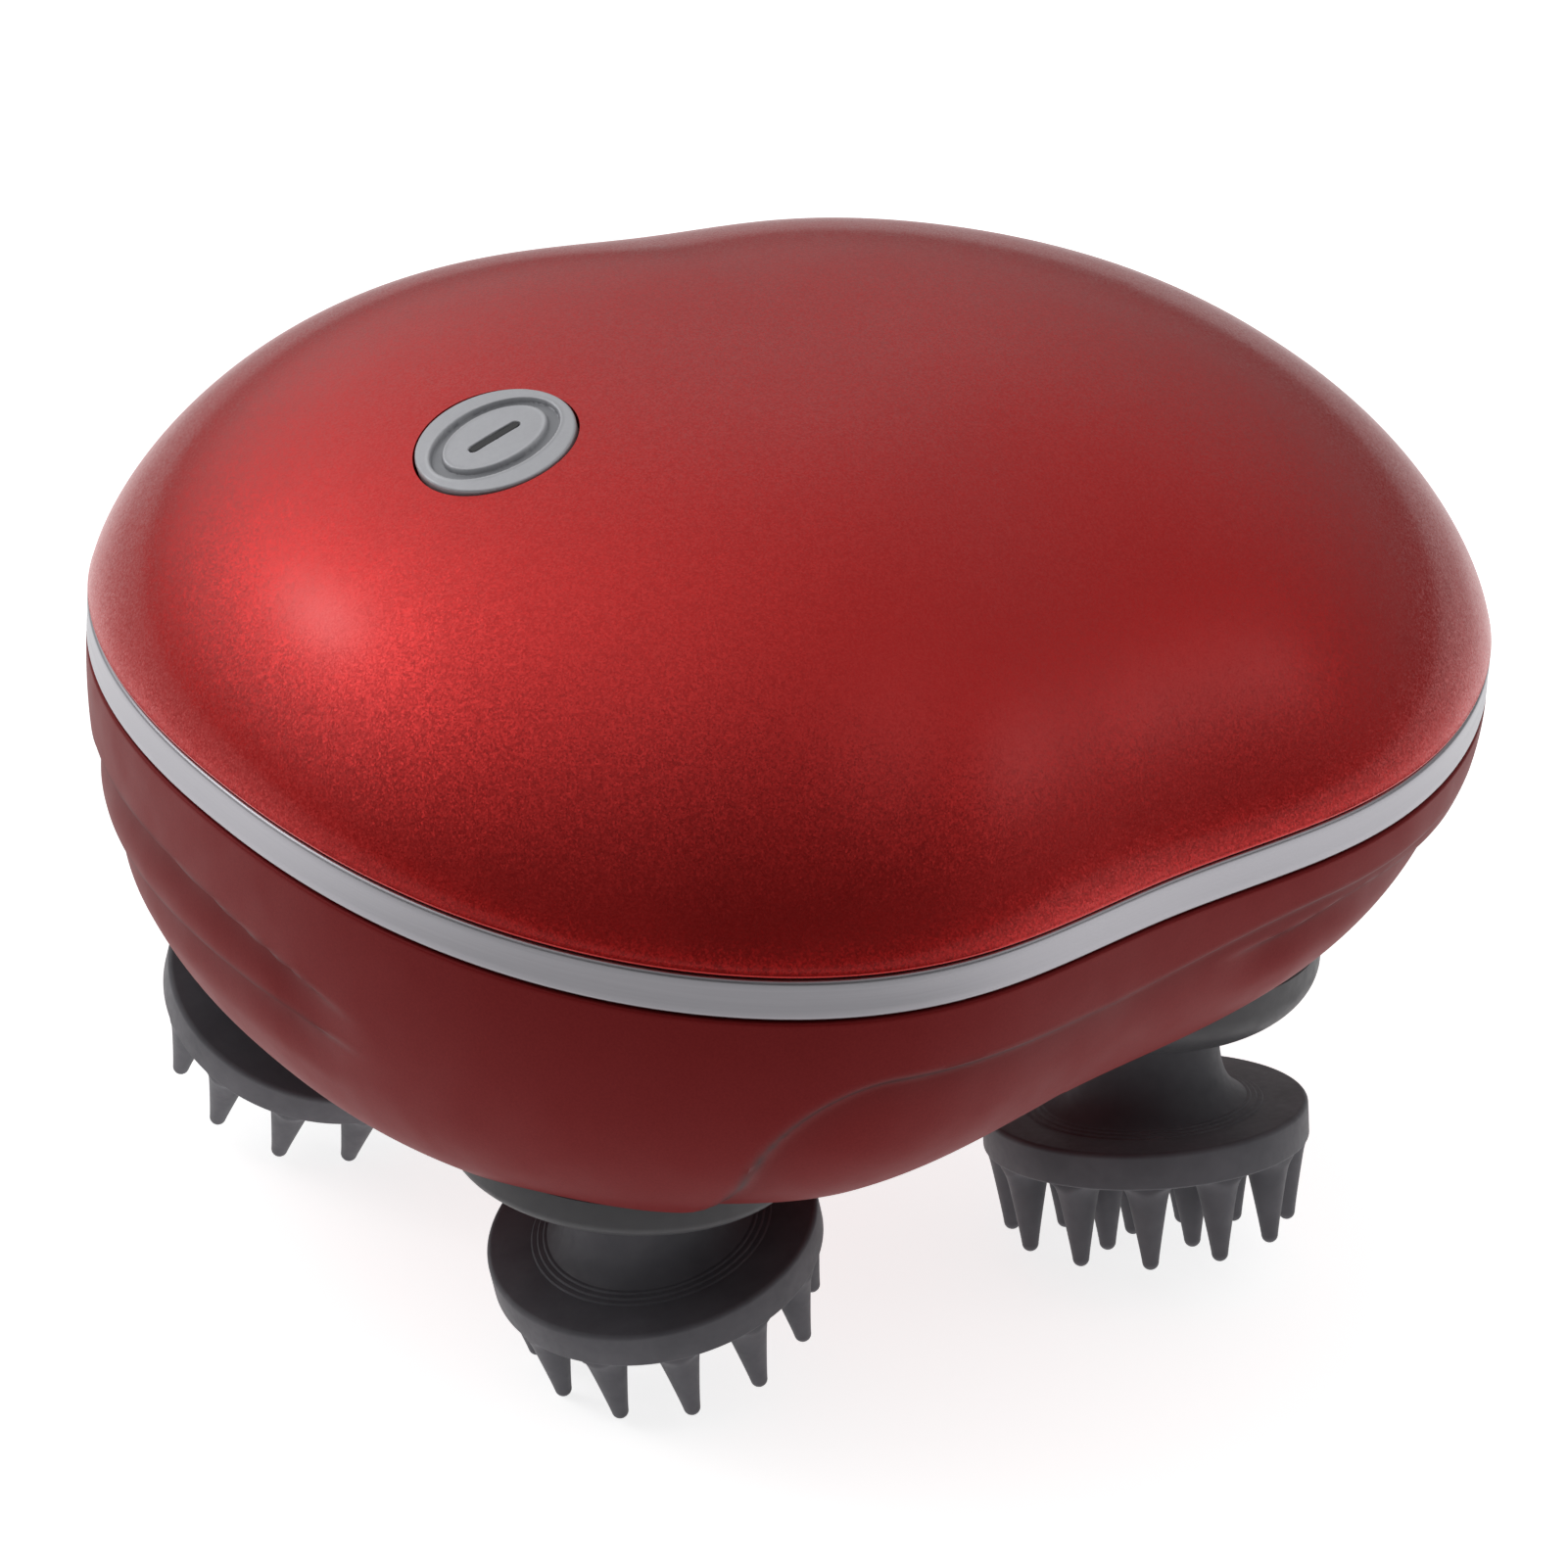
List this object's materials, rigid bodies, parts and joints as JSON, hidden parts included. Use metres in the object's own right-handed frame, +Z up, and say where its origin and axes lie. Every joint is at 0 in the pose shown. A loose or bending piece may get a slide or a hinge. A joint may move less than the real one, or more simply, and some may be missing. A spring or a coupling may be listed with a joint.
{
  "type": "scalp massager",
  "caption": "Cordless hand-held scalp massager: domed body with waist and trim band over tilted, geared, turning silicone spike heads.",
  "frame": {"origin": "centre of the footprint, on the plane that the lowest spike of each head stands on", "axes": "+Z up through the dome, -X towards the button end, +Y to the left side"},
  "size_m": [0.1246, 0.112, 0.0855],
  "materials": {
    "top_shell": "red metallic lacquer with fine flake",
    "trim": "satin silver with bright edges",
    "bottom_shell": "dark red soft matte lacquer",
    "button": "satin blue-grey",
    "button_window": "smoked light window",
    "silicone": "charcoal silicone",
    "collar": "dark grey satin",
    "seal": "black silicone",
    "gear_plastic": "natural acetal",
    "core_plastic": "white moulded plastic",
    "frame_plastic": "black glass-filled nylon",
    "steel": "bright steel",
    "bronze": "sintered bronze",
    "winding": "copper winding on a steel core",
    "magnet": "ferrite",
    "board": "green solder mask",
    "chips": "black resin",
    "led": "clear resin",
    "battery": "shrink sleeve",
    "wire": "wire insulation"
  },
  "bodies": {
    "housing": {"top_cover": "top_shell", "trim_ring": "trim", "lower_housing": "bottom_shell", "housing_gasket": "seal", "housing_screws": "steel", "tact_switch": "frame_plastic", "status_led": "led", "control_board": "board", "board_chips": "chips", "board_screws": "steel", "battery_cell": "battery", "battery_cradle": "frame_plastic", "battery_leads": "wire", "motor_can": "steel", "motor_end_cap": "core_plastic", "motor_magnets": "magnet", "motor_screws": "steel", "motor_leads": "wire", "gearbox_base": "frame_plastic", "gearbox_cover": "frame_plastic", "gearbox_screws": "steel", "reduction_axle": "steel", "drive_axles": "steel", "lower_bushes": "bronze", "upper_bushes": "bronze", "charging_socket": "steel"},
    "button": {"power_button": "button", "button_window": "button_window", "switch_plunger": "core_plastic"},
    "motor_rotor": {"motor_armature": "winding", "motor_pinion": "bronze"},
    "reduction": {"reduction_gear": "gear_plastic"},
    "drive_left": {"drive_gear_left": "gear_plastic"},
    "drive_right": {"drive_gear_right": "gear_plastic"},
    "port_flap": {"port_cover": "seal"},
    "head_front_right": {"output_gear_front_right": "gear_plastic", "crank_shaft_front_right": "steel", "shaft_clips_front_right": "steel", "swivel_collar_front_right": "collar", "head_core_front_right": "core_plastic", "massage_head_front_right": "silicone"},
    "head_front_left": {"output_gear_front_left": "gear_plastic", "crank_shaft_front_left": "steel", "shaft_clips_front_left": "steel", "swivel_collar_front_left": "collar", "head_core_front_left": "core_plastic", "massage_head_front_left": "silicone"},
    "head_rear_right": {"output_gear_rear_right": "gear_plastic", "crank_shaft_rear_right": "steel", "shaft_clips_rear_right": "steel", "swivel_collar_rear_right": "collar", "head_core_rear_right": "core_plastic", "massage_head_rear_right": "silicone"},
    "head_rear_left": {"output_gear_rear_left": "gear_plastic", "crank_shaft_rear_left": "steel", "shaft_clips_rear_left": "steel", "swivel_collar_rear_left": "collar", "head_core_rear_left": "core_plastic", "massage_head_rear_left": "silicone"}
  },
  "joints": [
    {"name": "button_press", "type": "slide", "parent": "housing", "child": "button", "axis": [0.3256, 0, -0.9455], "range_m": [0, 0.0006], "stiffness_N_per_m": 800},
    {"name": "port_flap_open", "type": "hinge", "parent": "housing", "child": "port_flap", "pos_m": [0.06094, 0, 0.04958], "axis": [0, -1, 0], "range_deg": [0, 100]},
    {"name": "head_spin_front_right", "type": "hinge", "parent": "housing", "child": "head_front_right", "pos_m": [-0.0337, -0.02321, 0.0333], "axis": [0, 0, 1], "continuous": true},
    {"name": "head_spin_front_left", "type": "hinge", "parent": "housing", "child": "head_front_left", "pos_m": [-0.0337, 0.02321, 0.0333], "axis": [0, 0, 1], "continuous": true},
    {"name": "head_spin_rear_right", "type": "hinge", "parent": "housing", "child": "head_rear_right", "pos_m": [0.0213, -0.02321, 0.0333], "axis": [0, 0, 1], "continuous": true},
    {"name": "head_spin_rear_left", "type": "hinge", "parent": "housing", "child": "head_rear_left", "pos_m": [0.0213, 0.02321, 0.0333], "axis": [0, 0, 1], "continuous": true},
    {"name": "drive_spin_left", "type": "hinge", "parent": "housing", "child": "drive_left", "pos_m": [-0.0062, 0.014, 0.0413], "axis": [0, 0, 1], "continuous": true},
    {"name": "drive_spin_right", "type": "hinge", "parent": "housing", "child": "drive_right", "pos_m": [-0.0062, -0.014, 0.0413], "axis": [0, 0, 1], "continuous": true},
    {"name": "reduction_spin", "type": "hinge", "parent": "housing", "child": "reduction", "pos_m": [0.00998, 0.00224, 0.0463], "axis": [0, 0, 1], "continuous": true},
    {"name": "motor_spin", "type": "hinge", "parent": "housing", "child": "motor_rotor", "pos_m": [-0.01019, 0, 0.0583], "axis": [0, 0, 1], "continuous": true}
  ],
  "couplings": [
    {"joint": "head_spin_rear_right", "follows": "head_spin_front_right", "ratio": 1},
    {"joint": "head_spin_front_left", "follows": "head_spin_front_right", "ratio": -1},
    {"joint": "head_spin_rear_left", "follows": "head_spin_front_right", "ratio": -1},
    {"joint": "drive_spin_right", "follows": "head_spin_front_right", "ratio": -1.0714},
    {"joint": "drive_spin_left", "follows": "head_spin_front_right", "ratio": 1.0714},
    {"joint": "reduction_spin", "follows": "head_spin_front_right", "ratio": -2.5},
    {"joint": "motor_spin", "follows": "head_spin_front_right", "ratio": 9.5833}
  ]
}
